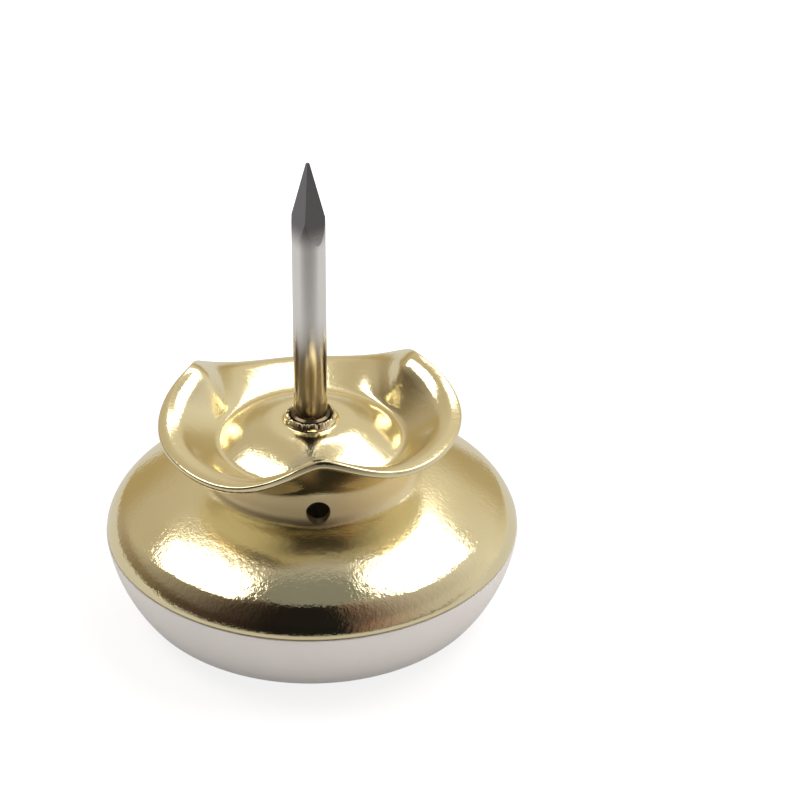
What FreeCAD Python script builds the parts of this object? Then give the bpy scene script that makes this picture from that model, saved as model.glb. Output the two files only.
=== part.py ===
import FreeCAD, Part
import math
import os
from FreeCAD import Vector

# Nail-on furniture glide, in millimetres.
# Z runs up the nail. Z = 0 is the flat sliding face that stands on the floor,
# and the origin is the middle of that face.

os.makedirs("parts", exist_ok=True)

# Driving dimensions of the moulded nylon foot
pad_diameter = 25.0
pad_exposed_height = 4.95
pad_side_taper = 1.6
pad_side_bulge = 0.25
pad_edge_height = 0.95
pad_edge_width = 1.8
pad_edge_bulge = 0.25
recess_diameter = 6.9
recess_mouth_round = 0.7
recess_depth_to_head = 3.4
recess_step_below_head = 0.1
washer_pocket_diameter = 6.48
hub_diameter = 7.2
hub_foot_round = 0.8
plug_height = 0.9
plug_chamfer = 0.6

# Driving dimensions of the drawn steel shell
sheet = 0.5
shell_edge_inset = 0.05
skirt_lip_height = 0.3
skirt_height = 1.8
shoulder_inset = 1.1
skirt_bulge = 0.15
dome_bulge = 0.22
neck_diameter = 12.4
neck_foot_height = 4.05
neck_foot_round = 0.9
neck_top_height = 6.0
vent_hole_diameter = 1.45
vent_hole_height = 4.85
vent_turn_deg = 3.4

# Driving dimensions of the cup on top of the neck
cup_ring_diameter = 11.1
cup_ring_height = 6.05
cup_floor_rise = 1.45
cup_floor_flat_diameter = 5.0
cup_floor_bulge = -0.29
cup_floor_round = 0.8
flange_width = 3.85
flange_wall_share = 0.62
flange_wall_rise = 0.30
flange_lip_rise = 0.42
flange_root_overlap = 0.15
flange_root_inset = 0.2
flange_root_drop = 0.3
lobe_lean_deg = [32, 3, 24]
kink_lean_deg = [60, 55, 54]
kink_sharpness = 2.6
kink_softness = 0.06
lobe_count = len(lobe_lean_deg)
front_kink_turn_deg = 4.5
sections_per_half_lobe = 8

# Driving dimensions of the burr where the nail comes through the cup floor
burr_outer_diameter = 3.3
burr_lip_width = 0.1
burr_height = 0.45
burr_shoulder_share = 0.3
burr_notch_count = 9
burr_notch_width = 0.22
burr_notch_depth = 0.28
burr_turn_deg = 13.0

# Driving dimensions of the nail and its washer
nail_diameter = 2.0
nail_grip_diameter = 2.34
nail_grip_end_above_burr = 0.05
nail_grip_taper = 0.1
nail_height_above_shell_edge = 24.9
nail_head_diameter = 4.5
nail_head_thickness = 0.8
nail_head_edge_round = 0.2
point_facet_count = 4
point_length = 5.5
point_turn_deg = -11.0
point_tip_diameter = 0.16
washer_diameter = 6.2
washer_thickness = 0.5

# Clearances between the pieces
plug_clearance = 0.1
hub_clearance = 0.05
nail_clearance = 0.05
burr_clearance = 0.05

# Heights and radii that follow from the dimensions above
cup_floor_height = cup_ring_height + cup_floor_rise
shell_edge_z = pad_exposed_height
head_z = recess_depth_to_head
washer_z = head_z + nail_head_thickness
ledge_z = washer_z + washer_thickness
tip_z = shell_edge_z + nail_height_above_shell_edge
pad_r = pad_diameter / 2
shell_r = pad_r - shell_edge_inset
shoulder_r = pad_r - shoulder_inset
neck_r = neck_diameter / 2
ring_r = cup_ring_diameter / 2
nail_r = nail_diameter / 2
grip_r = nail_grip_diameter / 2
grip_end_z = shell_edge_z + cup_floor_height + burr_height + nail_grip_end_above_burr
recess_r = recess_diameter / 2
pocket_r = washer_pocket_diameter / 2
pocket_z = head_z - recess_step_below_head
hub_r = hub_diameter / 2
burr_hole_r = grip_r + burr_clearance
centre = Vector(0, 0, 0)
up = Vector(0, 0, 1)


def at(radius, height):
    """A point of a profile, drawn in the plane through the axis."""
    return Vector(radius, 0, height)


def line(a, b):
    return Part.LineSegment(a, b).toShape()


def arc(a, through, b):
    return Part.Arc(a, through, b).toShape()


def turned(edges):
    """Revolve a closed profile round the axis."""
    face = Part.Face(Part.Wire(edges))
    return face.revolve(centre, up, 360)


def polygon(points):
    """Straight edges round a closed outline."""
    return [line(a, b) for a, b in zip(points, points[1:] + points[:1])]


def bulged(a, b, bulge):
    """An arc from a to b that stands out from its chord by the bulge."""
    chord = b - a
    side = Vector(chord.z, 0, -chord.x).normalize()
    return arc(a, (a + b) * 0.5 + side * bulge, b)


def ring_edges(solid, radius, height, tolerance=0.02):
    """The round edges of a solid at one radius and height."""
    found = []
    for edge in solid.Edges:
        box = edge.BoundBox
        if abs(box.ZMin - height) > tolerance or abs(box.ZMax - height) > tolerance:
            continue
        if abs(box.XMax - radius) < tolerance:
            found.append(edge)
    return found


# Drawn shell below the cup: skirt, dome, neck and cup floor
def drawn_shell():
    """The sheet from its lower edge to the cup floor, turned from its outer outline."""
    edge = at(shell_r, shell_edge_z)
    lip = at(shell_r, shell_edge_z + skirt_lip_height)
    shoulder = at(shoulder_r, shell_edge_z + skirt_height)
    foot = at(neck_r, shell_edge_z + neck_foot_height)
    neck_top = at(neck_r, shell_edge_z + neck_top_height)
    ring = at(ring_r, shell_edge_z + cup_ring_height)
    floor = at(cup_floor_flat_diameter / 2, shell_edge_z + cup_floor_height)
    outline = Part.Wire([
        line(edge, lip),
        bulged(lip, shoulder, skirt_bulge),
        bulged(shoulder, foot, dome_bulge),
        line(foot, neck_top),
        line(neck_top, ring),
        bulged(ring, floor, cup_floor_bulge),
        line(floor, at(0, shell_edge_z + cup_floor_height)),
    ])
    strip = outline.makeOffset2D(sheet, 0, True, True)
    body = strip.revolve(centre, up, 360)
    body = Part.makeSolid(body.Shells[0]) if body.ShapeType != "Solid" else body
    body = body.makeFillet(neck_foot_round, ring_edges(body, neck_r, foot.z))
    return body.makeFillet(cup_floor_round, ring_edges(body, cup_floor_flat_diameter / 2, floor.z))


# Three-lobed flange of the cup
def pinch(share):
    """How far the flange is pinched up: 0 in the middle of a lobe, 1 at its kinks."""
    distance = abs(share)
    cap = kink_sharpness * kink_softness
    rounding = cap * math.exp((distance - 1) / kink_softness)
    return (distance ** kink_sharpness - rounding) / (1 - cap)


def flange_section(lean_deg, azimuth_deg):
    """Closed section of the flange: wall, turned lip, rounded edge and underside."""
    lean = math.radians(lean_deg)
    along = Vector(math.cos(lean), 0, math.sin(lean))
    across = Vector(-math.sin(lean), 0, math.cos(lean))
    start = at(ring_r, shell_edge_z + cup_ring_height)

    def inside(distance, rise):
        return start + along * distance + across * rise

    wall_end = flange_width * flange_wall_share
    lip_top = flange_width * (1 + flange_wall_share) / 2
    face_points = [
        inside(-flange_root_overlap, 0),
        inside(wall_end / 2, flange_wall_rise / 2),
        inside(wall_end, flange_wall_rise),
        inside(lip_top, flange_lip_rise),
        inside(flange_width, 0),
    ]
    face = Part.BSplineCurve()
    face.interpolate(face_points)
    under_points = []
    for point in face_points[1:]:
        tangent = face.tangent(face.parameter(point))[0]
        normal = Vector(tangent.z, 0, -tangent.x)
        under_points.append(point + normal * sheet)
    root = at(neck_r - flange_root_inset, start.z - flange_root_drop)
    under = Part.BSplineCurve()
    under.interpolate(list(reversed(under_points)) + [root])
    end_tangent = face.tangent(face.LastParameter)[0]
    edge_middle = (face_points[-1] + under_points[-1]) * 0.5 + end_tangent * (sheet / 2)
    wire = Part.Wire([
        face.toShape(),
        arc(face_points[-1], edge_middle, under_points[-1]),
        under.toShape(),
        line(root, face_points[0]),
    ])
    wire.rotate(centre, up, azimuth_deg)
    return wire


def flange_lobe(number):
    """One lobe, lofted from kink to kink through sections set closer near the kinks."""
    half_angle = 180 / lobe_count
    middle_deg = -90 + front_kink_turn_deg + half_angle * (2 * number + 1)
    middle_lean = lobe_lean_deg[number]
    sections = []
    for step in range(-sections_per_half_lobe, sections_per_half_lobe + 1):
        share = math.sin(math.pi / 2 * step / sections_per_half_lobe)
        nearest_kink = number if step < 0 else (number + 1) % lobe_count
        rise = (kink_lean_deg[nearest_kink] - middle_lean) * pinch(share)
        sections.append(flange_section(middle_lean + rise, middle_deg + half_angle * share))
    return Part.makeLoft(sections, True, False)


def cup_flange():
    lobes = [flange_lobe(number) for number in range(lobe_count)]
    return lobes[0].fuse(lobes[1:])


# Burr round the nail in the middle of the cup floor
def burr():
    floor_z = shell_edge_z + cup_floor_height
    outer_r = burr_outer_diameter / 2
    collar = turned(polygon([
        at(burr_hole_r, floor_z - sheet / 2),
        at(outer_r, floor_z - sheet / 2),
        at(outer_r, floor_z + burr_height * burr_shoulder_share),
        at(burr_hole_r + burr_lip_width, floor_z + burr_height),
        at(burr_hole_r, floor_z + burr_height),
    ]))
    notches = []
    for i in range(burr_notch_count):
        tooth = Part.makeBox(outer_r, burr_notch_width, burr_notch_depth * 2)
        tooth.translate(Vector(nail_r, -burr_notch_width / 2, floor_z + burr_height - burr_notch_depth))
        tooth.rotate(centre, up, 360 / burr_notch_count * i + burr_turn_deg)
        notches.append(tooth)
    return collar.cut(notches)


def shell():
    body = drawn_shell().fuse([cup_flange(), burr()])
    nail_hole = Part.makeCylinder(burr_hole_r, cup_floor_height + burr_height, at(0, shell_edge_z))
    vent_z = shell_edge_z + vent_hole_height
    vent = Part.makeCylinder(vent_hole_diameter / 2, pad_r, Vector(0, 0, vent_z), Vector(0, -1, 0))
    vent.rotate(centre, up, vent_turn_deg)
    return body.cut([nail_hole, vent])


# Moulded foot
def hub_top_corners():
    """Flat and slope of the hub's top, which lie under the cup floor at the hub clearance."""
    floor_r = cup_floor_flat_diameter / 2
    slope = cup_floor_rise / (ring_r - floor_r)
    drop = (sheet + hub_clearance - cup_floor_bulge) * math.hypot(1, slope)
    flat_z = shell_edge_z + cup_floor_height - sheet - hub_clearance
    slope_z = shell_edge_z + cup_floor_height - drop - (hub_r - floor_r) * slope
    return at(hub_r, slope_z), at(hub_r - (flat_z - slope_z) / slope, flat_z)


def glide_pad():
    hub_corner, hub_flat = hub_top_corners()
    plug_r = shell_r - sheet - plug_clearance
    plug_top = shell_edge_z + plug_height
    hole_r = grip_r + nail_clearance
    side_foot = at(pad_r - pad_side_taper, pad_edge_height)
    face_rim = at(side_foot.x - pad_edge_width, 0)
    diagonal = math.sqrt(0.5)
    mouth_middle = at(recess_r + recess_mouth_round * (1 - diagonal), recess_mouth_round * (1 - diagonal))
    points = [
        at(pad_r, shell_edge_z),
        at(plug_r, shell_edge_z),
        at(plug_r, plug_top - plug_chamfer),
        at(plug_r - plug_chamfer, plug_top),
        at(hub_r, plug_top),
        hub_corner,
        hub_flat,
        at(hole_r, hub_flat.z),
        at(hole_r, ledge_z),
        at(pocket_r, ledge_z),
        at(pocket_r, pocket_z),
        at(recess_r, pocket_z),
        at(recess_r, recess_mouth_round),
    ]
    edges = [line(a, b) for a, b in zip(points, points[1:])]
    edges.append(arc(points[-1], mouth_middle, at(recess_r + recess_mouth_round, 0)))
    edges.append(line(at(recess_r + recess_mouth_round, 0), face_rim))
    edges.append(bulged(face_rim, side_foot, pad_edge_bulge))
    edges.append(bulged(side_foot, points[0], pad_side_bulge))
    pad = turned(edges)
    return pad.makeFillet(hub_foot_round, ring_edges(pad, hub_r, plug_top))


# Nail with a flat head and a faceted point
def facet_outline(half, z):
    """Regular outline whose sides lie at the given distance from the axis, one corner on X."""
    corner = half / math.cos(math.pi / point_facet_count)
    points = []
    for i in range(point_facet_count):
        angle = 2 * math.pi * i / point_facet_count
        points.append(Vector(corner * math.cos(angle), corner * math.sin(angle), z))
    return Part.Wire(polygon(points))


def nail():
    """Headed wire, thicker where the foot and the washer grip it, cut to a point by a pyramid."""
    head_r = nail_head_diameter / 2
    blank = turned(polygon([
        at(0, head_z),
        at(head_r, head_z),
        at(head_r, washer_z),
        at(grip_r, washer_z),
        at(grip_r, grip_end_z - nail_grip_taper),
        at(nail_r, grip_end_z),
        at(nail_r, tip_z),
        at(0, tip_z),
    ]))
    blank = blank.makeFillet(nail_head_edge_round, ring_edges(blank, head_r, head_z))
    tip_half = point_tip_diameter / 2
    flare = nail_r / point_length
    base = facet_outline(tip_half + tip_z * flare, 0)
    top = facet_outline(tip_half, tip_z)
    pyramid = Part.makeLoft([base, top], True, True)
    pyramid.rotate(centre, up, -90 + point_turn_deg)
    return blank.common(pyramid)


def head_washer():
    disc = Part.makeCylinder(washer_diameter / 2, washer_thickness, at(0, washer_z))
    hole = Part.makeCylinder(grip_r + nail_clearance, washer_thickness, at(0, washer_z))
    return disc.cut(hole)


pieces = {
    "shell": shell(),
    "glide_pad": glide_pad(),
    "nail": nail(),
    "head_washer": head_washer(),
}

for name, shape in pieces.items():
    solids = shape.Solids
    solid = solids[0] if len(solids) == 1 else Part.makeCompound(solids)
    solid.exportStep(f"parts/{name}.step")
    box = solid.optimalBoundingBox()
    print(f"{name}: {len(solids)} solid, valid {solid.isValid()}, {solid.Volume:.1f} mm3, "
          f"z {box.ZMin:.2f} to {box.ZMax:.2f}, width {box.XLength:.2f}")
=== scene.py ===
# %% [markdown]
# # Nail-on furniture glide
#
# A glide is the little foot that is nailed under a chair leg, so that the chair slides on the
# floor. This one is four pieces: a white nylon foot, a brass-plated steel shell drawn over it, a
# nail through the middle and a washer under the nail's head. The lesson builds each piece as a mesh
# in its real place, gives it a finish made from nodes, and lights it like a product picture.
#
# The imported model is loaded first. It is the frame: it says where every piece sits and how large
# the object is, and the pieces made here take over its nodes one by one.

# %% Load the frame
import math

import bmesh
import bpy
import numpy as np
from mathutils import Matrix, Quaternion, Vector


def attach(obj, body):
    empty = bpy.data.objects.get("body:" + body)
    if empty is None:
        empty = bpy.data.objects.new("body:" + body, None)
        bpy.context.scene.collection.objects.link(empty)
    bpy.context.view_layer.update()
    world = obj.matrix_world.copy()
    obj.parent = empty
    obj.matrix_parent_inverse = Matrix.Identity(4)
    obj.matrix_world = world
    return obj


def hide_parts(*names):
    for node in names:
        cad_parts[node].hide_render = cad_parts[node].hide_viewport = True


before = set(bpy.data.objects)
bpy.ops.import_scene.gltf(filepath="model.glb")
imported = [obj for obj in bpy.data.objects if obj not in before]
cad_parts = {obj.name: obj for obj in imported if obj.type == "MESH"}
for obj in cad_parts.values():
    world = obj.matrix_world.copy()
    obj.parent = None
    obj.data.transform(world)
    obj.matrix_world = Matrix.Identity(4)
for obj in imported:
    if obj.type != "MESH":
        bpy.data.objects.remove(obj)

scene = bpy.context.scene
scene.view_settings.view_transform = "Standard"
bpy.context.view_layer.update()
MM = 0.001

# %% [markdown]
# ## Writing node trees as sums
#
# A finish is a tree of nodes. Adding each Math node by hand takes three lines and hides the sum
# that is meant. Python lets a class say what + and * mean for it, so `Wire` stands for one output
# socket, and an expression on wires adds the Math nodes. The reflected forms, such as __rsub__,
# make `1 - mask` work as well as `mask - 1`. Geometry Nodes use the same Math node, so the same
# class serves for both kinds of tree.

# %% A wire, and a graph that adds nodes
class Wire:
    """One output socket of a node, on which Python's operators add Math nodes."""

    def __init__(self, graph, socket):
        self.graph = graph
        self.socket = socket

    def math(self, operation, *others):
        values = dict(enumerate((self, *others)))
        return self.graph.add("ShaderNodeMath", {"operation": operation}, values)

    def __add__(self, other):
        return self.math("ADD", other)

    def __sub__(self, other):
        return self.math("SUBTRACT", other)

    def __rsub__(self, other):
        return self.graph.add("ShaderNodeMath", {"operation": "SUBTRACT"}, {0: other, 1: self})

    def __mul__(self, other):
        return self.math("MULTIPLY", other)

    def __truediv__(self, other):
        return self.math("DIVIDE", other)

    def __pow__(self, other):
        return self.math("POWER", other)

    __radd__ = __add__
    __rmul__ = __mul__

    def most(self, other):
        return self.math("MAXIMUM", other)

    def between(self, low, high):
        """0 below low, 1 above high, and a smooth step from one to the other."""
        settings = {"interpolation_type": "SMOOTHSTEP"}
        return self.graph.add("ShaderNodeMapRange", settings, {0: self, 1: low, 2: high})

    def over(self, zone_mm):
        """That step for a length in metres, over a zone whose two ends are in millimetres."""
        low, high = zone_mm
        return self.between(low * MM, high * MM)


class Graph:
    """A node tree that nodes are added to with one method."""

    def __init__(self, tree):
        self.tree = tree

    def add(self, kind, settings=None, values=None, output=0):
        """A node of that type: settings first, then numbers or wires into its sockets."""
        node = self.tree.nodes.new(kind)
        for name, value in (settings or {}).items():
            if name == "stops":
                self.set_stops(node.color_ramp.elements, value)
            else:
                setattr(node, name, value)
        for key, value in (values or {}).items():
            if isinstance(value, Wire):
                self.tree.links.new(value.socket, node.inputs[key])
            else:
                node.inputs[key].default_value = value
        return Wire(self, node.outputs[output]) if node.outputs else node

    def set_stops(self, elements, stops):
        while len(elements) < len(stops):
            elements.new(0.5)
        for element, (place, colour) in zip(elements, stops):
            element.position = place
            element.color = (*colour, 1)

    def mix(self, a, b, factor):
        """Colour a where the factor is 0, colour b where it is 1."""
        values = {0: factor, 6: a, 7: b}
        return self.add("ShaderNodeMix", {"data_type": "RGBA"}, values, output=2)


print("graph helpers ready")

# %% [markdown]
# ## Patterns in real sizes
#
# Every pattern below reads Object coordinates, which are metres on the finished piece, so a noise
# whose grain is 0.2 mm has that grain from any side and on any piece. A Noise Texture's Scale is
# the number of grains in a metre, and `grain` turns a size in millimetres into it. Stretching
# happens before the noise: a drawn nail has long thin lines because its Z is squeezed. Where a
# finish changes along a piece, a zone says between which two heights or radii it does so.

# %% Patterns
class Finish(Graph):
    """A material with a Principled shader, and helpers for patterns on Object coordinates."""

    def __init__(self, name, **constants):
        self.material = bpy.data.materials.new(name)
        self.material.use_nodes = True
        super().__init__(self.material.node_tree)
        self.shader = next(n for n in self.tree.nodes if n.type == "BSDF_PRINCIPLED")
        for key, value in constants.items():
            self.shader.inputs[key.replace("_", " ")].default_value = value
        self.place = self.add("ShaderNodeTexCoord", output="Object")

    def along(self, axis):
        return self.add("ShaderNodeSeparateXYZ", values={0: self.place}, output=axis)

    def from_axis(self):
        """The distance from the glide's axis, in metres."""
        x, y = self.along("X"), self.along("Y")
        return (x * x + y * y) ** 0.5

    def stretched(self, scale):
        values = {"Vector": self.place, "Scale": scale}
        return self.add("ShaderNodeMapping", values=values)

    def grain(self, size_mm, detail, roughness=0.5, stretch=None):
        """Noise from 0 to 1, with lumps of that size."""
        where = self.stretched(stretch) if stretch else self.place
        values = {"Vector": where, "Scale": 1 / (size_mm * MM), "Detail": detail,
                  "Roughness": roughness}
        return self.add("ShaderNodeTexNoise", {"noise_dimensions": "3D"}, values)

    def bump(self, height, depth_mm, normal=None):
        """A Bump node: height 0 to 1 stands for that depth."""
        values = {"Height": height, "Distance": depth_mm * MM, "Strength": 1.0}
        if normal:
            values["Normal"] = normal
        return self.add("ShaderNodeBump", values=values)

    def feed(self, **wires):
        for key, wire in wires.items():
            self.tree.links.new(wire.socket, self.shader.inputs[key.replace("_", " ")])


print("pattern helpers ready")

# %% [markdown]
# ## Finish: brass plating
#
# The shell is steel with a thin bright brass plate. A mirror finish shows little colour of its own:
# nearly all that the eye sees is the room. What tells it from chrome is the pale gold of the
# reflections, and what tells it from a perfect computer mirror is the sheet. Drawing stretches the
# steel and its skin comes out slightly grainy, like orange peel, so the edges of a reflection break
# up into specks. Three noises do that: a slow one that makes long reflections wander, a fine one
# for the peel, and a very fine one for grit. They go into a Bump, which tilts the surface for the
# light only. The grain is stronger low on the dome, round the foot of the neck and in the cup,
# where the sheet is stretched or squeezed most. The neck is rubbed to a satin of a deeper gold,
# and the torn metal close to the nail has lost its plating. It is also painted dark brown there,
# which is painted shade of the narrow gap round the nail.

# %% Brass plating
DOME_TOP_ZONE, NECK_FOOT_ZONE = (6.8, 9.2), (7.0, 8.7)
NECK_ZONE, CUP_ZONE, TORN_METAL_ZONE = (8.9, 9.4), (10.7, 11.2), (1.30, 1.52)
DEEP_GOLD, PALE_GOLD = (0.81, 0.70, 0.415, 1), (0.88, 0.785, 0.51, 1)
# The second colour on this line is bare torn steel, darkened with painted shade of the gap round
# the nail.
SATIN_GOLD, TORN_STEEL_AND_GAP_SHADE = (0.97, 0.81, 0.49, 1), (0.20, 0.15, 0.08, 1)
WANDER_DEPTH, PEEL_DEPTH, GRIT_DEPTH = 0.030, 0.015, 0.006


def brass_plating():
    finish = Finish("brass_plated_steel", Metallic=1.0)
    height = finish.along("Z")
    low_dome = 1 - height.over(DOME_TOP_ZONE)
    above_foot = height.over(NECK_ZONE)
    round_neck = height.over(NECK_FOOT_ZONE) * (1 - above_foot)
    cup = height.over(CUP_ZONE)
    neck = above_foot * (1 - cup)
    grainy = low_dome.most(round_neck).most(cup * 0.6)
    slow = finish.grain(4.0, 1.0)
    peel = finish.grain(0.32, 2.0, 0.55)
    grit = finish.grain(0.13, 2.0)
    tone = finish.grain(3.0, 3.0)
    plain = finish.mix(DEEP_GOLD, PALE_GOLD, tone)
    satin = finish.mix(plain, SATIN_GOLD, neck)
    # Near the nail the colour goes dark brown: bare torn steel, plus painted shade of the gap round
    # the nail.
    torn_and_shaded = 1 - finish.from_axis().over(TORN_METAL_ZONE)
    colour = finish.mix(satin, TORN_STEEL_AND_GAP_SHADE, torn_and_shaded * 0.8)
    wander = finish.bump(slow, WANDER_DEPTH)
    peeled = finish.bump(peel * (0.3 + 0.7 * grainy), PEEL_DEPTH, wander)
    gritty = finish.bump(grit * (0.4 + 0.6 * grainy), GRIT_DEPTH, peeled)
    worn = 0.16 * round_neck + 0.42 * neck + 0.07 * cup
    rough = 0.045 + 0.06 * finish.grain(1.4, 4.0) + worn
    finish.feed(Base_Color=colour, Roughness=rough, Normal=gritty)
    return finish.material


brass = brass_plating()
print(brass.name, len(brass.node_tree.nodes), "nodes")

# %% [markdown]
# ## Finish: moulded nylon
#
# Nylon is a milky, slightly warm white. Light goes a little way into it, which a small Subsurface
# Weight gives, and its skin is a satin copy of the mould: a faint mottle, and fine scuffs on the
# sliding face where the part has rubbed in its bag. Subsurface is the same all over, so its numbers
# sit on the shader, and only colour, roughness and bump vary.

# %% Nylon
DULL_WHITE, CLEAR_WHITE = (0.89, 0.83, 0.78, 1), (0.93, 0.88, 0.835, 1)
SCUFF_GREY, FACE_ZONE, SKIN_DEPTH = (0.66, 0.62, 0.56, 1), (0.0, 0.25), 0.006


def nylon():
    finish = Finish("white_nylon", Subsurface_Weight=0.25, Subsurface_Scale=0.0008,
                    Subsurface_Radius=(1.0, 0.8, 0.6), IOR=1.53)
    mottle = finish.grain(2.2, 3.0)
    skin = finish.grain(0.16, 3.0, 0.6)
    scuffs = finish.grain(0.5, 4.0, 0.7, stretch=(0.08, 1.0, 1.0))
    face = 1 - finish.along("Z").over(FACE_ZONE)
    colour = finish.mix(DULL_WHITE, CLEAR_WHITE, mottle)
    scuffed = finish.mix(colour, SCUFF_GREY, face * scuffs.between(0.62, 0.78) * 0.6)
    height = skin * 0.6 + face * scuffs * 0.8
    rough = 0.34 + 0.12 * mottle + 0.16 * face
    finish.feed(Base_Color=scuffed, Roughness=rough, Normal=finish.bump(height, SKIN_DEPTH))
    return finish.material


white_nylon = nylon()
print(white_nylon.name, len(white_nylon.node_tree.nodes), "nodes")

# %% [markdown]
# ## Finish: bright nail steel
#
# Nail wire is pulled through a die, which leaves fine lines along it. A noise whose Z is squeezed
# thirty times gives lines of that kind, and they go into roughness and bump. The point is pinched
# off between two cutters, so it is darker than the shank and has short marks across each facet.
# A mask on Z, measured down from the tip, parts the two. Near the cup the wire is stained, and
# in the gap of the torn hole it is painted dark: painted shade, where the torn collar shades it.

# %% Nail steel
NAIL_TIP = 29.85
POINT_LENGTH = 5.5
POINT_ZONE = (NAIL_TIP - POINT_LENGTH, NAIL_TIP - 3.8)
STAIN_ZONE, GAP_ZONE = (15.8, 20.2), (12.9, 14.3)
DULL_WIRE, BRIGHT_WIRE = (0.74, 0.72, 0.70, 1), (0.88, 0.86, 0.84, 1)
CUT_STEEL = (0.145, 0.14, 0.15, 1)
# The second brown on this line is painted shade for the wire in the gap of the torn hole.
STAIN_BROWN, PAINTED_GAP_SHADE = (0.34, 0.28, 0.20, 1), (0.11, 0.08, 0.05, 1)
LINE_DEPTH, CUT_DEPTH = 0.0025, 0.006


def nail_steel():
    finish = Finish("bright_steel", Metallic=1.0)
    lines = finish.grain(0.10, 3.0, 0.6, stretch=(1.0, 1.0, 0.03))
    stains = finish.grain(1.6, 3.0, 0.6, stretch=(1.0, 1.0, 0.35))
    cuts = finish.grain(0.12, 2.0, 0.5, stretch=(0.25, 0.25, 1.0))
    height = finish.along("Z")
    point = height.over(POINT_ZONE)
    shank = finish.mix(DULL_WIRE, BRIGHT_WIRE, stains)
    base = 1 - height.over(STAIN_ZONE)
    dulled = finish.mix(shank, STAIN_BROWN, base * stains.between(0.15, 0.5))
    # Painted shade: the wire is darkened where it stands in the gap of the torn hole.
    gap_shade = 1 - height.over(GAP_ZONE)
    shaded = finish.mix(dulled, PAINTED_GAP_SHADE, gap_shade * 0.95)
    colour = finish.mix(shaded, CUT_STEEL, point * 0.92)
    rough = 0.12 + 0.08 * lines + 0.06 * stains + 0.12 * point
    lined = finish.bump(lines, LINE_DEPTH)
    cut = finish.bump(cuts * point, CUT_DEPTH, lined)
    finish.feed(Base_Color=colour, Roughness=rough, Normal=cut)
    return finish.material


steel = nail_steel()
print(steel.name, len(steel.node_tree.nodes), "nodes")

# %% [markdown]
# ## Finish: washer steel
#
# The washer is punched from strip and zinc plated: a dull blue-grey with the broad spangle of zinc.
# A Voronoi Texture gives cells, and each cell is a little lighter or darker.

# %% Washer steel
SPANGLE_SIZE, SCRATCH_DEPTH = 0.9, 0.004
DARK_ZINC, LIGHT_ZINC = (0.50, 0.51, 0.53, 1), (0.66, 0.67, 0.68, 1)


def washer_finish():
    finish = Finish("washer_steel", Metallic=1.0)
    values = {"Vector": finish.place, "Scale": 1 / (SPANGLE_SIZE * MM)}
    cells = finish.add("ShaderNodeTexVoronoi", {"feature": "F1"}, values, output="Color")
    tint = finish.add("ShaderNodeSeparateColor", values={0: cells}, output=0)
    scratch = finish.grain(0.15, 3.0, 0.6, stretch=(1.0, 0.1, 1.0))
    colour = finish.mix(DARK_ZINC, LIGHT_ZINC, tint)
    rough = 0.28 + 0.12 * tint + 0.10 * scratch
    finish.feed(Base_Color=colour, Roughness=rough, Normal=finish.bump(scratch, SCRATCH_DEPTH))
    return finish.material


zinc = washer_finish()
print(zinc.name, len(zinc.node_tree.nodes), "nodes")

# %% [markdown]
# ## Drawing a section
#
# Three of the pieces are round, so each starts as a section: a line in the plane of radius and
# height. Straight runs and arcs are sampled to many points, and `joined` rounds the corners
# between them, as a press tool or a mould does. The points are then spun round the axis as a grid
# of four-sided faces. A grid shades evenly on a mirror, which a cut-up solid does not.

# %% Section helpers
RUN_SAMPLES = 60
MERGE_WITHIN, NO_LENGTH = 1e-7, 1e-8


def run(a, b, bulge=0.0):
    """Points from a to b: a straight line, or an arc that stands out from it by the bulge."""
    a, b = np.array(a, float), np.array(b, float)
    if not bulge:
        return a + (b - a) * np.linspace(0, 1, RUN_SAMPLES)[:, None]
    half = np.hypot(*(b - a)) / 2
    forward = (b - a) / (2 * half)
    side = np.array([forward[1], -forward[0]])
    radius = (half ** 2 + bulge ** 2) / (2 * bulge)
    turn = np.linspace(-1, 1, RUN_SAMPLES)[:, None] * math.asin(half / radius)
    middle = (a + b) / 2 + side * (bulge - radius)
    return middle + radius * (np.cos(turn) * side + np.sin(turn) * forward)


def spaced(path, count, cut_start=0.0, cut_end=0.0):
    """The path again with that many points, with a length cut off either end."""
    steps = np.hypot(*np.diff(path, axis=0).T)
    length = np.concatenate([[0], np.cumsum(steps)])
    kept = np.linspace(cut_start, length[-1] - cut_end, count)
    return np.column_stack([np.interp(kept, length, path[:, k]) for k in (0, 1)])


def joined(runs, setbacks, counts, corner_points):
    """Runs end to end, with each corner rounded over a setback to either side of it.

    The setbacks are the corners' in order, and the counts say how many points each run gets.
    """
    cuts = [0.0, *setbacks, 0.0]
    path = []
    for i, (points, count) in enumerate(zip(runs, counts)):
        trimmed = spaced(points, count, cuts[i], cuts[i + 1])
        if path and cuts[i]:
            t = np.linspace(0, 1, corner_points + 2)[1:-1, None]
            a, corner, b = path[-1][-1], points[0], trimmed[0]
            path.append((1 - t) ** 2 * a + 2 * t * (1 - t) * corner + t ** 2 * b)
        elif path:
            trimmed = trimmed[1:]
        path.append(trimmed)
    return np.concatenate(path)


def mesh_object(name, vertices, faces, material, sharp_deg=35.0):
    """A mesh in metres from points in millimetres, with doubles merged and faces outwards."""
    mesh = bpy.data.meshes.new(name)
    mesh.from_pydata((np.array(vertices) * MM).tolist(), [], faces)
    tidy(mesh, sharp_deg)
    mesh.materials.append(material)
    thing = bpy.data.objects.new(name, mesh)
    scene.collection.objects.link(thing)
    return thing


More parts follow.
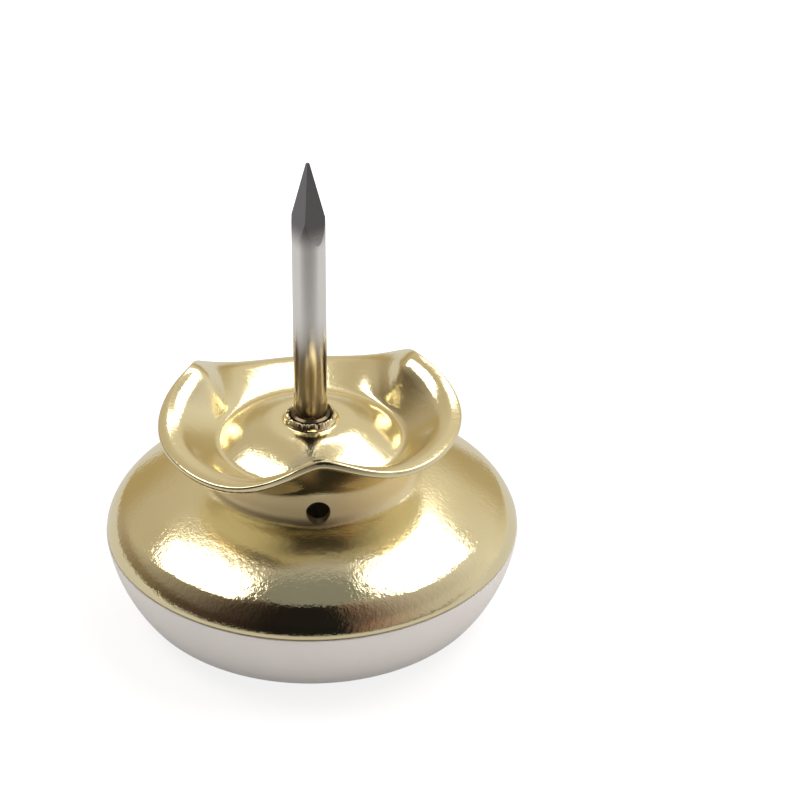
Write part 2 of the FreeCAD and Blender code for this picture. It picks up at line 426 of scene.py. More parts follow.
def tidy(mesh, sharp_deg):
    """Merges doubles, turns faces outwards, and marks the edges that stay crisp."""
    work = bmesh.new()
    work.from_mesh(mesh)
    bmesh.ops.remove_doubles(work, verts=work.verts, dist=MERGE_WITHIN)
    bmesh.ops.dissolve_degenerate(work, edges=work.edges, dist=NO_LENGTH)
    bmesh.ops.recalc_face_normals(work, faces=work.faces)
    for face in work.faces:
        face.smooth = True
    for edge in work.edges:
        if len(edge.link_faces) == 2:
            edge.smooth = edge.calc_face_angle(0) < math.radians(sharp_deg)
    work.to_mesh(mesh)
    work.free()


def grid_faces(rows, columns, close_rows):
    """Four-sided faces of a grid that is closed round its columns."""
    faces = []
    for i in range(rows if close_rows else rows - 1):
        for j in range(columns):
            a, b = i * columns, (i + 1) % rows * columns
            k = (j + 1) % columns
            faces.append((a + j, a + k, b + k, b + j))
    return faces


def spin(section, azimuths):
    """Every section point at every azimuth, row by row."""
    turns = np.radians(azimuths)
    x = np.outer(section[:, 0], np.cos(turns))
    y = np.outer(section[:, 0], np.sin(turns))
    z = np.outer(section[:, 1], np.ones(len(turns)))
    return np.stack([x, y, z], axis=-1).reshape(-1, 3)


def spun_piece(name, section, columns, material):
    """A ring-shaped piece from a closed section."""
    points = spin(section, np.arange(columns) / columns * 360)
    return mesh_object(name, points, grid_faces(len(section), columns, close_rows=True), material)


print("section helpers ready")

# %% [markdown]
# ## The shell, part 1: its section while the brim is still flat
#
# The shell is one disc of steel, 0.5 mm thick. A press draws it in steps: skirt and dome, then a
# neck, then a cup that points back down, with a brim. So its section is one long strip that is
# never cut, and one closed line can go all the way round it. Heights here count from the shell's
# lower edge. The brim is drawn flat for now, in its own two numbers: how far a point lies out from
# the crease, and how far it rises. The press bends it up in the next step.

# %% Sizes of the shell
SHELL_EDGE = 4.95
SHEET = 0.5
EDGE_R, LIP_TOP = 12.45, 0.3
SHOULDER_R, SHOULDER_Z, SKIRT_BULGE = 11.4, 1.8, 0.15
NECK_R, FOOT_Z, DOME_BULGE = 6.2, 4.05, 0.22
CREASE_R, CREASE_Z = 5.55, 6.05
FLOOR_R, FLOOR_Z, FLOOR_BULGE, UNDER_FLOOR_BULGE = 2.5, 7.5, 0.15, 0.13
BRIM = 3.97
HOLE_R, COLLAR_R, COLLAR_TOP = 1.22, 1.65, 0.45
COLLAR_LIP, COLLAR_FLARE, TORN_SHARE = 0.14, 0.06, 0.7
ROOT_OUT = NECK_R - CREASE_R

# How far out, and how much the face is tilted there: the wall, a ledge, and the turned-down edge
BRIM_TILTS = [(0.0, 9), (2.45, 8), (2.75, 2), (3.0, -14), (3.42, -20), (3.65, -34), (BRIM, -48)]
BRIM_SAMPLES, SMOOTHED_OVER = 400, 21
LIP_FROM, EDGE_OUT = 2.2, 0.12
EDGE_SHARES = [0.01, 0.06, 0.16, 0.33, 0.5, 0.67, 0.84, 0.94, 0.99]
UNDER_POINTS, LIP_POINTS, WALL_POINTS = 24, 27, 15


def brim_points():
    """Underside from root to edge, the rounded edge, and the face back to the crease."""
    out = np.linspace(0, BRIM, BRIM_SAMPLES)
    tilt = np.radians(np.interp(out, *zip(*BRIM_TILTS)))
    padded = np.pad(tilt, SMOOTHED_OVER // 2, "edge")
    tilt = np.convolve(padded, np.full(SMOOTHED_OVER, 1 / SMOOTHED_OVER), "valid")
    rise = np.concatenate([[0], np.cumsum(np.tan(tilt[1:]) * np.diff(out))])
    face = np.column_stack([out, rise])
    normal = np.column_stack([-np.sin(tilt), np.cos(tilt)])
    under = face - normal * SHEET
    under = under[under[:, 0] >= ROOT_OUT]
    share = np.array(EDGE_SHARES)[:, None]
    ahead = np.array([normal[-1, 1], -normal[-1, 0]])
    round_out = EDGE_OUT * (1 - abs(2 * share - 1) ** 5)
    edge = under[-1] + share * (face[-1] - under[-1]) + round_out * ahead
    lip, wall = face[out >= LIP_FROM][::-1], face[out < LIP_FROM][::-1]
    face_line = np.concatenate([spaced(lip, LIP_POINTS), spaced(wall, WALL_POINTS)])
    return spaced(under, UNDER_POINTS), edge, face_line


under, brim_edge, face = brim_points()
ROOT_RISE = under[0, 1]
print("brim", len(under) + len(brim_edge) + len(face), "points, root rise", round(ROOT_RISE, 3))

# %% [markdown]
# The rest of the strip follows. The outer line runs from the cut edge up the skirt, over the
# shoulder, along the dome and up the neck. The cup floor runs from the crease to the collar that
# the nail tore up when it was driven through. The inner line is the outer one moved in by about
# the thickness of the sheet, with few points, because nobody sees it.

# %% Section of the shell
def outer_line():
    runs = [
        run((EDGE_R - SHEET, 0), (EDGE_R, 0)),
        run((EDGE_R, 0), (EDGE_R, LIP_TOP)),
        run((EDGE_R, LIP_TOP), (SHOULDER_R, SHOULDER_Z), SKIRT_BULGE),
        run((SHOULDER_R, SHOULDER_Z), (NECK_R, FOOT_Z), DOME_BULGE),
        run((NECK_R, FOOT_Z), (NECK_R, CREASE_Z + ROOT_RISE)),
    ]
    setbacks, counts = [0.16, 0.06, 0.18, 0.7], [3, 2, 14, 28, 12]
    return joined(runs, setbacks, counts, corner_points=7)


def floor_line():
    collar_top = (HOLE_R + COLLAR_LIP, FLOOR_Z + COLLAR_TOP)
    torn_edge = (HOLE_R, FLOOR_Z + COLLAR_TOP * TORN_SHARE)
    runs = [
        run((CREASE_R, CREASE_Z), (FLOOR_R, FLOOR_Z), FLOOR_BULGE),
        run((FLOOR_R, FLOOR_Z), (COLLAR_R, FLOOR_Z)),
        run((COLLAR_R, FLOOR_Z), collar_top, COLLAR_FLARE),
        run(collar_top, torn_edge),
        run(torn_edge, (HOLE_R, FLOOR_Z - SHEET)),
    ]
    setbacks, counts = [0.35, 0.12, 0.05, 0.02], [24, 4, 7, 2, 3]
    return joined(runs, setbacks, counts, corner_points=5)


def inner_line():
    """The numbers here move each corner in by what the sheet's thickness comes to there."""
    under_floor = (FLOOR_R - 0.11, FLOOR_Z - SHEET)
    under_crease = (CREASE_R - 0.1, CREASE_Z - 0.52)
    neck_top, neck_foot = (NECK_R - SHEET, CREASE_Z - 0.55), (NECK_R - SHEET, FOOT_Z - 0.45)
    under_shoulder = (SHOULDER_R - 0.33, SHOULDER_Z - 0.4)
    lip_top, lip_foot = (EDGE_R - SHEET, LIP_TOP), (EDGE_R - SHEET, 0)
    slope = run(under_floor, under_crease, -UNDER_FLOOR_BULGE)
    runs = [
        run((HOLE_R, FLOOR_Z - SHEET), under_floor),
        slope,
        run(slope[-1], neck_top),
        run(neck_top, neck_foot),
        run(neck_foot, under_shoulder, -DOME_BULGE),
        run(under_shoulder, lip_top, -SKIRT_BULGE),
        run(lip_top, lip_foot),
    ]
    setbacks, counts = [0.2, 0.1, 0.1, 0.6, 0.1, 0.05], [3, 5, 2, 3, 5, 3, 2]
    return joined(runs, setbacks, counts, corner_points=1)


outer, floor_part, inner = outer_line(), floor_line(), inner_line()
print("outer", len(outer), "floor", len(floor_part), "inner", len(inner))

# %% [markdown]
# ## The shell, part 2: spin it, then let the press bend the brim
#
# The closed line is spun into a grid in Python. Each point also carries a few numbers that say
# what the press does to it: whether it lies on the brim, how far out it is and how far it rises,
# whether it belongs to the neck or to the brim's root, which make room for the bend, how soft the
# corner is there, and how torn the metal is. A mesh attribute holds one number for each point, and
# Geometry Nodes can read it by name.

# %% Spin the shell's line, with the numbers that the press needs
LOBES, COLUMNS_PER_LOBE, CROWDING = 3, 128, 0.5
FRONT_KINK_DEG = -90 + 4.5
NECK_ROUND_TOP = 0.75
SOFT_AT_NECK, SOFT_AT_CREASE, TORN_WITHIN = 0.45, 0.5, 0.5


def neck_share():
    """0 at the foot of the neck, 1 at its top."""
    straight_from = FOOT_Z + NECK_ROUND_TOP
    top = CREASE_Z + ROOT_RISE
    share = (outer[:, 1] - straight_from) / (top - straight_from)
    return np.clip(np.where(outer[:, 0] > NECK_R + 1e-6, 0, share), 0, 1)


def near(points, place, size):
    """1 at a place on the section, falling smoothly to 0 at that distance."""
    away = np.hypot(points[:, 0] - place[0], points[:, 1] - place[1])
    share = np.clip(1 - away / size, 0, 1)
    return share * share * (3 - 2 * share)


def shell_grid():
    parts = [outer[:-1], under, brim_edge, face[:-1], floor_part, inner[1:-1]]
    sizes = [len(p) for p in parts]
    starts = np.concatenate([[0], np.cumsum(sizes)])
    flat = np.concatenate(parts)
    on_brim = np.zeros(len(flat))
    on_brim[starts[1]:starts[4]] = 1
    rise = np.where(on_brim > 0, flat[:, 1], 0)
    out = np.where(on_brim > 0, flat[:, 0], 0)
    section = np.where(on_brim[:, None] > 0, flat + (CREASE_R, CREASE_Z), flat)
    neck = np.zeros(len(flat))
    neck[:starts[1]] = neck_share()[:-1]
    root = np.zeros(len(flat))
    root[starts[1]:starts[2]] = 1 - (under[:, 0] - ROOT_OUT) / (BRIM - ROOT_OUT)
    soft = near(section, (NECK_R, CREASE_Z + ROOT_RISE), SOFT_AT_NECK)
    soft = np.maximum(soft, near(section, (CREASE_R, CREASE_Z), SOFT_AT_CREASE))
    torn = near(section, (HOLE_R + 0.1, FLOOR_Z + COLLAR_TOP), TORN_WITHIN)
    return section, {"on_brim": on_brim, "out": out, "rise": rise, "neck": neck, "root": root,
                     "soft": soft, "torn": torn}


def lobe_azimuths():
    """Azimuths in degrees from kink to kink, set closer near the kinks."""
    steps = np.arange(COLUMNS_PER_LOBE) / COLUMNS_PER_LOBE
    eased = steps - CROWDING * np.sin(2 * np.pi * steps) / (2 * np.pi)
    lobe_width = 360 / LOBES
    return np.concatenate([FRONT_KINK_DEG + lobe_width * (lobe + eased) for lobe in range(LOBES)])


section, marks = shell_grid()
azimuths = lobe_azimuths()
points = spin(section, azimuths) + (0, 0, SHELL_EDGE)
quads = grid_faces(len(section), len(azimuths), close_rows=True)
shell = mesh_object("shell_drawn", points, quads, brass)
for name, values in marks.items():
    mark = shell.data.attributes.new(name, "FLOAT", "POINT")
    scale = MM if name in ("out", "rise") else 1.0
    mark.data.foreach_set("value", np.repeat(values * scale, len(azimuths)).astype(np.float32))
print("flat shell", len(points), "points,", len(quads), "faces")

# %% [markdown]
# The bend itself is a rule, so Geometry Nodes make it. Round the axis there are three lobes. In the
# middle of a lobe the brim leans out, and towards a kink it is pinched up, gently at first and then
# fast: the share of the lobe to a power does that, and a small exponential takes the crease off the
# very tip. The angle is different at each lobe and kink, as it is on the real one, where the
# press was not quite centred. Every point of the brim then turns about the crease by that angle.
# The neck grows or shrinks to meet it, Blur rounds the two corners where sheet bends, a noise tears
# the collar, and a Boolean punches the vent. Every size is a named input of the tree.

# %% The press, as a Geometry Nodes tree
class Press(Graph):
    """A Geometry Nodes tree with named inputs."""

    def __init__(self, name):
        super().__init__(bpy.data.node_groups.new(name, "GeometryNodeTree"))
        for way in ("INPUT", "OUTPUT"):
            self.tree.interface.new_socket(name="Geometry", in_out=way,
                                           socket_type="NodeSocketGeometry")
        self.entry = self.tree.nodes.new("NodeGroupInput")
        self.exit = self.tree.nodes.new("NodeGroupOutput")
        self.numbers = {}

    def size(self, name, value):
        """A named input, as a wire."""
        socket = self.tree.interface.new_socket(name=name, in_out="INPUT",
                                                socket_type="NodeSocketFloat")
        self.numbers[socket.identifier] = value
        return Wire(self, self.entry.outputs[name])

    def start(self):
        return Wire(self, self.entry.outputs["Geometry"])

    def mark(self, name):
        return self.add("GeometryNodeInputNamedAttribute", {"data_type": "FLOAT"}, {"Name": name})

    def choose(self, index, wires):
        """The wire whose number the index is."""
        chosen = 0.0
        for number, wire in enumerate(wires):
            chosen = wire * index.math("COMPARE", number, 0.5) + chosen
        return chosen

    def finish_with(self, geometry, material):
        real = self.add("GeometryNodeRealizeInstances", values={0: geometry})
        smooth = self.add("GeometryNodeSetShadeSmooth", values={0: real})
        named = self.add("GeometryNodeSetMaterial", values={0: smooth, "Material": material})
        self.tree.links.new(named.socket, self.exit.inputs[0])

    def apply_to(self, thing):
        """Runs the tree on an object, and leaves the result as its plain mesh."""
        modifier = thing.modifiers.new(self.tree.name, "NODES")
        modifier.node_group = self.tree
        for identifier, value in self.numbers.items():
            modifier[identifier] = value
        view = bpy.context.evaluated_depsgraph_get()
        made = bpy.data.meshes.new_from_object(thing.evaluated_get(view))
        thing.modifiers.remove(modifier)
        thing.data = made
        return thing


print("press ready")

# %% [markdown]
# Now the tree for this shell. It reads like the sums it stands for.

# %% Bend the brim
VENT_R, VENT_Z, VENT_TURN_DEG, VENT_SIDES, DRILL_LENGTH = 0.725, 4.85, 3.4, 64, 3
KINK_SHARPNESS, KINK_SOFTNESS = 3.0, 0.17
TEAR_DEPTH, TEAR_OUT, TEAR_UP = 0.30, 0.7, 2
SOFTENING_STEPS, SHARP_FOLD_DEG = 9, 32.0
LOBE_LEAN = {"Right lobe lean": 32, "Back lobe lean": 3, "Left lobe lean": 24}
KINK_LEAN = {"Front kink lean": 60, "Right kink lean": 55, "Left kink lean": 54}


def bend_brim(thing):
    press = Press("press_the_cup")
    lobes = [press.size(name, math.radians(v)) for name, v in LOBE_LEAN.items()]
    kinks = [press.size(name, math.radians(v)) for name, v in KINK_LEAN.items()]
    first_kink = press.size("First kink azimuth", math.radians(FRONT_KINK_DEG))
    sharpness = press.size("Kink sharpness", KINK_SHARPNESS)
    softness = press.size("Kink softness", KINK_SOFTNESS)
    crease_r = press.size("Crease radius", CREASE_R * MM)
    crease_z = press.size("Crease height", (SHELL_EDGE + CREASE_Z) * MM)
    neck_r = press.size("Neck radius", NECK_R * MM)
    root_rise = press.size("Root rise", ROOT_RISE * MM)
    tear_depth = press.size("Tear depth", TEAR_DEPTH * MM)
    vent_r = press.size("Vent radius", VENT_R * MM)

    place = press.add("GeometryNodeInputPosition")
    x, y, z = (press.add("ShaderNodeSeparateXYZ", values={0: place}, output=i) for i in range(3))
    azimuth = y.math("ARCTAN2", x)
    lobe_turn = ((azimuth - first_kink) / math.tau).math("FRACT") * LOBES
    number = lobe_turn.math("FLOOR")
    share = lobe_turn.math("FRACT") * 2 - 1
    kink_number = (number + share.math("GREATER_THAN", 0.0)).math("MODULO", LOBES)
    away = share.math("ABSOLUTE")
    cap = sharpness * softness
    rounding = cap * ((away - 1) / softness).math("EXPONENT")
    pinch = (away ** sharpness - rounding) / (1 - cap)
    lobe_lean = press.choose(number, lobes)
    lean = lobe_lean + (press.choose(kink_number, kinks) - lobe_lean) * pinch
    cosine, sine = lean.math("COSINE"), lean.math("SINE")

    root_out = (neck_r - crease_r + root_rise * sine) / cosine
    neck_grows = root_out * sine + root_rise * cosine - root_rise
    out = press.mark("out") + press.mark("root") * (root_out - (neck_r - crease_r))
    rise = press.mark("rise")
    brim_r = crease_r + out * cosine - rise * sine
    brim_z = crease_z + out * sine + rise * cosine
    radius = (x * x + y * y) ** 0.5
    on_brim = press.mark("on_brim")
    new_r = radius + on_brim * (brim_r - radius)
    new_z = z + on_brim * (brim_z - z) + press.mark("neck") * neck_grows

    turning = press.add("ShaderNodeCombineXYZ", values={0: azimuth.math("COSINE"),
                                                       1: azimuth.math("SINE")})
    grit = press.add("ShaderNodeTexNoise", {"noise_dimensions": "4D"},
                     {"Vector": turning, "W": 7.0, "Scale": 4.5, "Detail": 3.0})
    tear = press.mark("torn") * (grit - 0.5) * tear_depth
    new_r = new_r + tear * TEAR_OUT
    new_z = new_z + tear * TEAR_UP
    where = press.add("ShaderNodeCombineXYZ", values={0: new_r * azimuth.math("COSINE"),
                                                     1: new_r * azimuth.math("SINE"), 2: new_z})
    bent = press.add("GeometryNodeSetPosition", values={0: press.start(), 2: where})
    soft_place = press.add("GeometryNodeBlurAttribute", {"data_type": "FLOAT_VECTOR"},
                           {"Value": press.add("GeometryNodeInputPosition"),
                            "Iterations": SOFTENING_STEPS, "Weight": press.mark("soft")})
    softened = press.add("GeometryNodeSetPosition", values={0: bent, 2: soft_place})

    turn = math.radians(VENT_TURN_DEG)
    drill = press.add("GeometryNodeMeshCylinder", {"fill_type": "NGON"},
                      {"Vertices": VENT_SIDES, "Radius": vent_r, "Depth": DRILL_LENGTH * MM})
    middle = (NECK_R * math.sin(turn) * MM, -NECK_R * math.cos(turn) * MM,
              (SHELL_EDGE + VENT_Z) * MM)
    aimed = press.add("GeometryNodeTransform",
                      values={0: drill, "Translation": middle, "Rotation": (math.pi / 2, 0, turn)})
    holed = press.add("GeometryNodeMeshBoolean", {"operation": "DIFFERENCE", "solver": "EXACT"},
                      {"Mesh 1": softened, "Mesh 2": aimed})
    press.finish_with(holed, brass)
    return press.apply_to(thing)


bend_brim(shell)
tidy(shell.data, SHARP_FOLD_DEG)
print("shell", len(shell.data.vertices), "points,", len(shell.data.polygons), "faces")

# %% [markdown]
# ## The foot
#
# The foot is moulded, so it has no thin edges. Its side leans in towards the floor and ends in a
# broad soft edge, the mouth of the recess is rounded, and inside the shell a plug and a hub hold
# it. It is spun like the shell. The nail's head and its washer sit up in the recess, which is
# stepped to seat them.

# %% Sizes and mesh of the foot
PAD_R, SIDE_TAPER, SIDE_BULGE = 12.5, 1.6, 0.25
EDGE_TOP, EDGE_WIDE, EDGE_BULGE = 0.95, 1.8, 0.25
RECESS_R, POCKET_R, POCKET_Z, LEDGE_Z, MOUTH = 3.45, 3.24, 3.3, 4.7, 0.7
PLUG_R, PLUG_TOP, HUB_R, BORE_R = 11.85, 5.85, 3.6, 1.22
HUB_TOP_GAP, HUB_SLOPE_GAP = 0.05, 0.34
FOOT_COLUMNS = 288


def foot_section():
    slope = (FLOOR_Z - CREASE_Z) / (CREASE_R - FLOOR_R)
    hub_top = SHELL_EDGE + FLOOR_Z - SHEET - HUB_TOP_GAP
    drop = (SHEET + HUB_SLOPE_GAP) * math.hypot(1, slope)
    hub_side_top = SHELL_EDGE + FLOOR_Z - drop - (HUB_R - FLOOR_R) * slope
    hub_flat_r = HUB_R - (hub_top - hub_side_top) / slope
    side_foot = (PAD_R - SIDE_TAPER, EDGE_TOP)
    face_rim = (side_foot[0] - EDGE_WIDE, 0)
    corners = [(RECESS_R, POCKET_Z), (RECESS_R, 0), face_rim, side_foot, (PAD_R, SHELL_EDGE),
               (PLUG_R, SHELL_EDGE), (PLUG_R, PLUG_TOP), (HUB_R, PLUG_TOP), (HUB_R, hub_side_top),
               (hub_flat_r, hub_top), (BORE_R, hub_top), (BORE_R, LEDGE_Z), (POCKET_R, LEDGE_Z),
               (POCKET_R, POCKET_Z), (RECESS_R, POCKET_Z)]
    runs = [run(a, b) for a, b in zip(corners, corners[1:])]
    runs[2] = run(face_rim, side_foot, EDGE_BULGE)
    runs[3] = run(side_foot, corners[4], SIDE_BULGE)
    setbacks = [MOUTH, 0.2, 0.2, 0.08, 0.03, 0.6, 0.6, 0.1, 0.1, 0.05, 0.05, 0.1, 0.05]
    counts = [10, 12, 12, 20, 6, 2, 8, 8, 3, 2, 10, 3, 3, 2]
    return joined(runs, setbacks, counts, corner_points=12)[:-1]


foot = spun_piece("glide_foot", foot_section(), FOOT_COLUMNS, white_nylon)
print("foot", len(foot.data.vertices), "points")

# %% [markdown]
# ## The nail
#
# The shank is a drawn wire and the point is cut by two pairs of blades, so it is a four-sided
# pyramid that runs into a round. Where a flat meets the round, the edge is a curve, an arch on each
# side. A Boolean would leave that curve ragged. Here each column of the grid works out for itself
# how high the flat begins at its azimuth, and spaces its points from there, so the edge of the
# arch lies exactly on mesh edges and stays crisp.

# %% Mesh of the nail
NAIL_R, GRIP_R, GRIP_TOP, GRIP_TAPER = 1.0, 1.17, 12.85, 0.1
HEAD_R, HEAD_Z, HEAD_TOP, HEAD_ROUND = 2.25, 3.4, 4.2, 0.2
POINT_TURN_DEG, TIP_HALF, FACET_EDGE_DEG = -11.0, 0.08, 8.0
NAIL_COLUMNS, NAIL_STEPS = 160, 70


def head_and_grip():
    """The turned part: the flat head, and the thicker root that the foot grips."""
    corners = [(0, HEAD_Z), (HEAD_R, HEAD_Z), (HEAD_R, HEAD_TOP), (GRIP_R, HEAD_TOP),
               (GRIP_R, GRIP_TOP), (NAIL_R, GRIP_TOP + GRIP_TAPER)]
    runs = [run(a, b) for a, b in zip(corners, corners[1:])]
    setbacks, counts = [HEAD_ROUND, 0.05, 0.1, 0.02], [8, 4, 4, 8, 2]
    return joined(runs, setbacks, counts, corner_points=6)


def nail_points():
    """Rows from the middle of the head to the tip, each row a list of columns."""
    everywhere = np.ones(NAIL_COLUMNS)
    columns = np.arange(NAIL_COLUMNS) / NAIL_COLUMNS * 360
    turns = np.radians(columns - 90 + POINT_TURN_DEG + 45)
    facing = np.cos(np.radians((columns + 45) % 90 - 45))
    taper = NAIL_R / POINT_LENGTH
    begins = NAIL_TIP - (NAIL_R * facing - TIP_HALF) / taper
    rows = [(r * everywhere, z * everywhere) for r, z in head_and_grip()]
    for share in np.linspace(0, 1, NAIL_STEPS)[1:]:
        shank_z = GRIP_TOP + GRIP_TAPER + share * (begins - GRIP_TOP - GRIP_TAPER)
        rows.append((NAIL_R * everywhere, shank_z))
    for share in np.linspace(0, 1, NAIL_STEPS)[1:]:
        z = begins + share * (NAIL_TIP - begins)
        rows.append(((TIP_HALF + (NAIL_TIP - z) * taper) / facing, z))
    rows.append((0 * everywhere, NAIL_TIP * everywhere))
    return np.concatenate([np.stack([r * np.cos(turns), r * np.sin(turns), z], axis=-1)
                           for r, z in rows]), len(rows)


nail_mesh_points, nail_rows = nail_points()
nail_faces = grid_faces(nail_rows, NAIL_COLUMNS, close_rows=False)
nail = mesh_object("nail_wire", nail_mesh_points, nail_faces, steel, FACET_EDGE_DEG)
print("nail", len(nail.data.vertices), "points")

# %% [markdown]
# ## The washer
#
# A punched washer has one edge that the punch rolled over and one that it tore. At this size a
# rounded upper edge and a crisper lower one are enough.

# %% Mesh of the washer
WASHER_R, WASHER_HOLE_R, WASHER_Z, WASHER_TOP = 3.1, 1.22, 4.2, 4.7
WASHER_COLUMNS = 144


def washer_section():
    corners = [(WASHER_HOLE_R, WASHER_Z), (WASHER_R, WASHER_Z), (WASHER_R, WASHER_TOP),
               (WASHER_HOLE_R, WASHER_TOP), (WASHER_HOLE_R, WASHER_Z)]
    runs = [run(a, b) for a, b in zip(corners, corners[1:])]
    setbacks, counts = [0.05, 0.12, 0.05], [8, 3, 8, 3]
    return joined(runs, setbacks, counts, corner_points=5)[:-1]


washer = spun_piece("head_washer_disc", washer_section(), WASHER_COLUMNS, zinc)
print("washer", len(washer.data.vertices), "points")

# %% [markdown]
# ## Hand the pieces to the frame
#
# Each mesh takes over its node: it rides on the body and hides the node it stands for. Its finish
# already bears the name of the node's material slot, from when it was made. The part is one body,
# because the nail holds it all.

# %% Ride and replace
PIECES = [(shell, "shell", "brass_plated_steel"), (foot, "glide_pad", "white_nylon"),
          (nail, "nail", "bright_steel"), (washer, "head_washer", "washer_steel")]
for piece, node_name, slot_name in PIECES:
    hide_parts(node_name)
    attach(piece, "root")
    print(piece.name, "stands for", node_name)

# %% [markdown]
# ## Floor
#
# The floor is plain and pale. It is lit by the lamps like anything else, so it keeps the glide's
# shadow, and light of its own is added, as if from a lit table. A Light Path node tells who looks.
# The camera sees it lifted to white. The metal mirrors it bright behind the glide and dark in
# front, where the studio is dark. The foot gets its soft light from the floor round it, less of it
# from close by, where the foot shades the floor.

# %% Floor
FLOOR_SIZE, FLOOR_GREY = 1600, (0.30, 0.30, 0.30, 1)
BEHIND_ZONE, CLEAR_OF_FOOT_ZONE = (-50, -9), (5, 32)
GLOW, MIRRORED_GLOW, SPREAD_GLOW = 0.82, 0.5, 1.4


def pale_floor():
    finish = Finish("pale_floor", Roughness=0.8, Specular_IOR_Level=0.1, Base_Color=FLOOR_GREY)
    seen = finish.add("ShaderNodeLightPath", output="Is Camera Ray")
    mirrored = finish.add("ShaderNodeLightPath", output="Is Glossy Ray")
    behind = finish.along("Y").over(BEHIND_ZONE)
    spread = (1 - mirrored) * finish.from_axis().over(CLEAR_OF_FOOT_ZONE)
    strength = seen.most(mirrored * behind * MIRRORED_GLOW).most(spread * SPREAD_GLOW) * GLOW
    glow = finish.add("ShaderNodeEmission", values={"Strength": strength})
    lit = Wire(finish, finish.shader.outputs[0])
    both = finish.add("ShaderNodeAddShader", values={0: lit, 1: glow})
    out = next(n for n in finish.tree.nodes if n.type == "OUTPUT_MATERIAL")
    finish.tree.links.new(both.socket, out.inputs["Surface"])
    return finish.material


def floor_plane():
    half = FLOOR_SIZE / 2
    corners = [(-half, -half, 0), (half, -half, 0), (half, half, 0), (-half, half, 0)]
    return mesh_object("studio_floor", corners, [(0, 1, 2, 3)], pale_floor())


floor = floor_plane()
print("floor", round(floor.dimensions.x, 2), "m")

# %% [markdown]
# ## The room round the glide
#
# A polished piece is a picture of its room, so the room is worth describing. It is a plain studio:
# dark cloth round the camera and on its left, pale grey walls on its right, with a warm brown edge
# where they meet the cloth, and a tan wall behind. The picture is white, because the camera alone
# sees white there. The World is seen from inside, and its Generated coordinate is the
# direction looked in. The direction's azimuth picks a colour from two ramps, one for the low part
# of the walls and one for the high part. Its height fades the one into the other, and both into
# the ceiling, which is lighter at the back. Azimuth 0 is the camera's side and 90 is on the right.

# %% Room
LOW_WALLS = [(-180, (0.66, 0.60, 0.50)), (-166, (0.50, 0.40, 0.22)), (-150, (0.46, 0.37, 0.21)),
             (-136, (0.46, 0.40, 0.32)), (-112, (0.28, 0.23, 0.16)), (-75, (0.09, 0.065, 0.05)),
             (-45, (0.04, 0.025, 0.022)), (-26, (0.012, 0.010, 0.010)),
             (16, (0.010, 0.012, 0.013)), (31, (0.27, 0.165, 0.14)), (48, (0.44, 0.36, 0.32)),
             (66, (0.56, 0.54, 0.52)), (112, (0.84, 0.81, 0.77)), (132, (0.72, 0.67, 0.56)),
             (146, (0.54, 0.46, 0.31)), (164, (0.46, 0.37, 0.20)), (180, (0.66, 0.60, 0.50))]
HIGH_WALLS = [(-180, (0.74, 0.69, 0.60)), (-150, (0.58, 0.52, 0.42)), (-125, (0.56, 0.51, 0.42)),
              (-98, (0.33, 0.30, 0.26)), (-70, (0.17, 0.14, 0.125)), (-50, (0.06, 0.045, 0.04)),
              (-25, (0.015, 0.012, 0.012)), (15, (0.015, 0.015, 0.015)),
              (35, (0.20, 0.14, 0.125)), (60, (0.45, 0.41, 0.39)), (90, (0.64, 0.62, 0.60)),
              (112, (0.80, 0.78, 0.75)), (150, (0.72, 0.66, 0.55)), (180, (0.74, 0.69, 0.60))]
FRONT_CEILING, BACK_CEILING = (0.25, 0.26, 0.255, 1), (0.50, 0.47, 0.45, 1)
WHITE = (1, 1, 1, 1)

# How steep a direction is, as its Z from 0 to 1, where one part of the room fades into the next
LOW_TO_HIGH, WALL_TO_CEILING = (0.20, 0.45), (0.950, 0.970)
FRONT_TO_BACK = (0.02, 0.14)


def room():
    world = bpy.data.worlds.new("studio_room")
    world.use_nodes = True
    scene.world = world
    graph = Graph(world.node_tree)
    background = next(n for n in graph.tree.nodes if n.type == "BACKGROUND")
    look = graph.add("ShaderNodeTexCoord", output="Generated")
    x, y, z = (graph.add("ShaderNodeSeparateXYZ", values={0: look}, output=i) for i in range(3))
    turn = x.math("ARCTAN2", y * -1) / math.tau + 0.5
    low, high = ([((degrees + 180) / 360, colour) for degrees, colour in walls]
                 for walls in (LOW_WALLS, HIGH_WALLS))
    low = graph.add("ShaderNodeValToRGB", {"stops": low}, {0: turn})
    high = graph.add("ShaderNodeValToRGB", {"stops": high}, {0: turn})
    walls = graph.mix(low, high, z.between(*LOW_TO_HIGH))
    ceiling = graph.mix(FRONT_CEILING, BACK_CEILING, y.between(*FRONT_TO_BACK))
    above = graph.mix(walls, ceiling, z.between(*WALL_TO_CEILING))
    seen = graph.add("ShaderNodeLightPath", output="Is Camera Ray")
    colour = graph.mix(above, WHITE, seen)
    graph.tree.links.new(colour.socket, background.inputs["Color"])
    return world


print("room", room().name)

# %% [markdown]
# ## Lamps
#
# Three softboxes hang over the glide, facing down: left, right, and a dimmer one behind. An area
# lamp shows in a mirror as a plain white card, which is just what a softbox is, so their places
# decide where the white patches on the dome and in the cup lie. A lamp's power is spread over its
# area: power over pi times the area is how bright the card looks, and that is the number given
# here.

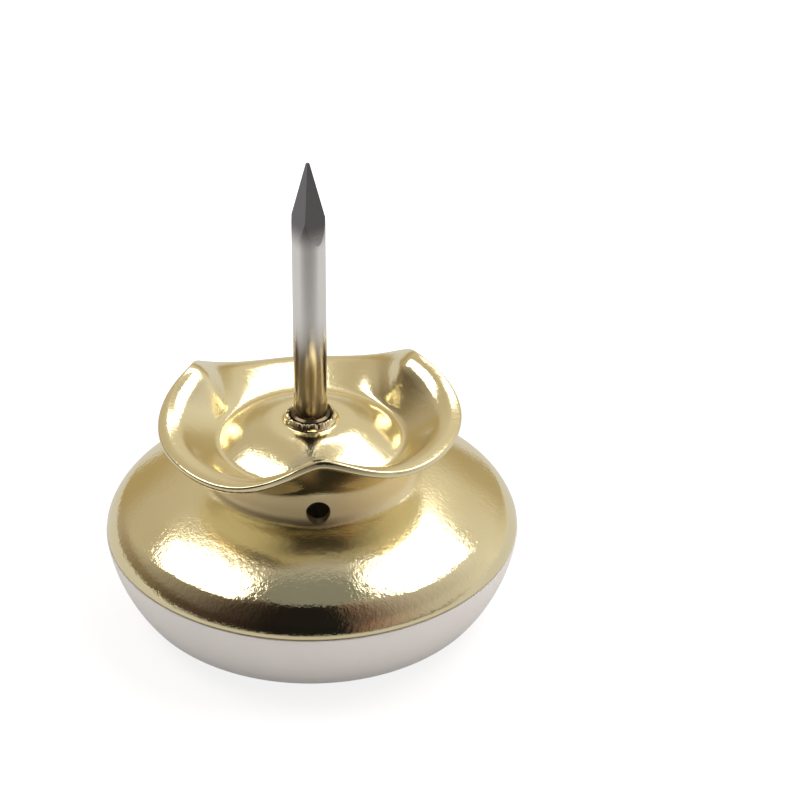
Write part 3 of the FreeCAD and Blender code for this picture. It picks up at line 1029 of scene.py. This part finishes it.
# %% Softboxes
def softbox(name, middle, size, turn_deg, brightness):
    """A downward-facing card of that size in metres, that many times as bright as white paper."""
    lamp = bpy.data.lights.new(name, "AREA")
    lamp.shape, (lamp.size, lamp.size_y) = "RECTANGLE", size
    lamp.energy = brightness * math.pi * size[0] * size[1]
    thing = bpy.data.objects.new(name, lamp)
    thing.location = middle
    thing.rotation_euler.z = math.radians(turn_deg)
    scene.collection.objects.link(thing)
    return thing


softbox("left_softbox", (-0.43, 0.15, 0.6), (0.25, 0.54), 38, 3.6)
softbox("right_softbox", (0.39, 0.19, 0.6), (0.34, 0.52), -20, 3.6)
softbox("back_softbox", (0.17, 0.44, 0.6), (0.42, 0.26), 0, 2.4)

# %% [markdown]
# ## Camera
#
# A long lens from a quarter of a metre away, 34 degrees above the floor. The glide stands left of
# and below the middle of the picture, so the camera is aimed a little to its upper right. Turning
# the camera by that small angle bends nothing, and the lens shift stays at zero.

# %% Camera
AIM_CENTRE = Vector((0, 0, SHELL_EDGE * MM))
DISTANCE, ELEVATION_DEG, ROLL_DEG = 0.250, 33.6, 0.75
FOCAL_PX, FRAME_PX, SENSOR_MM = 4105.0, 800.0, 36.0
CENTRE_LEFT_PX, CENTRE_DOWN_PX = 87.8, 123.0


def product_camera():
    data = bpy.data.cameras.new("product_camera")
    data.sensor_width = SENSOR_MM
    data.lens = FOCAL_PX / FRAME_PX * SENSOR_MM
    data.clip_start, data.clip_end = 0.01, 10.0
    camera = bpy.data.objects.new("product_camera", data)
    scene.collection.objects.link(camera)
    scene.camera = camera
    tilt = math.radians(ELEVATION_DEG)
    back = Vector((0, -math.cos(tilt), math.sin(tilt)))
    camera.location = AIM_CENTRE + back * DISTANCE
    level = (-back).to_track_quat("-Z", "Y")
    rolled = level @ Quaternion((0, 0, 1), math.radians(-ROLL_DEG))
    aside = rolled @ Vector((CENTRE_LEFT_PX, CENTRE_DOWN_PX, -FOCAL_PX))
    turn = (-back).rotation_difference(aside.normalized())
    camera.rotation_mode = "QUATERNION"
    camera.rotation_quaternion = turn @ rolled
    return camera


camera = product_camera()
print("lens", round(camera.data.lens, 1), "mm")
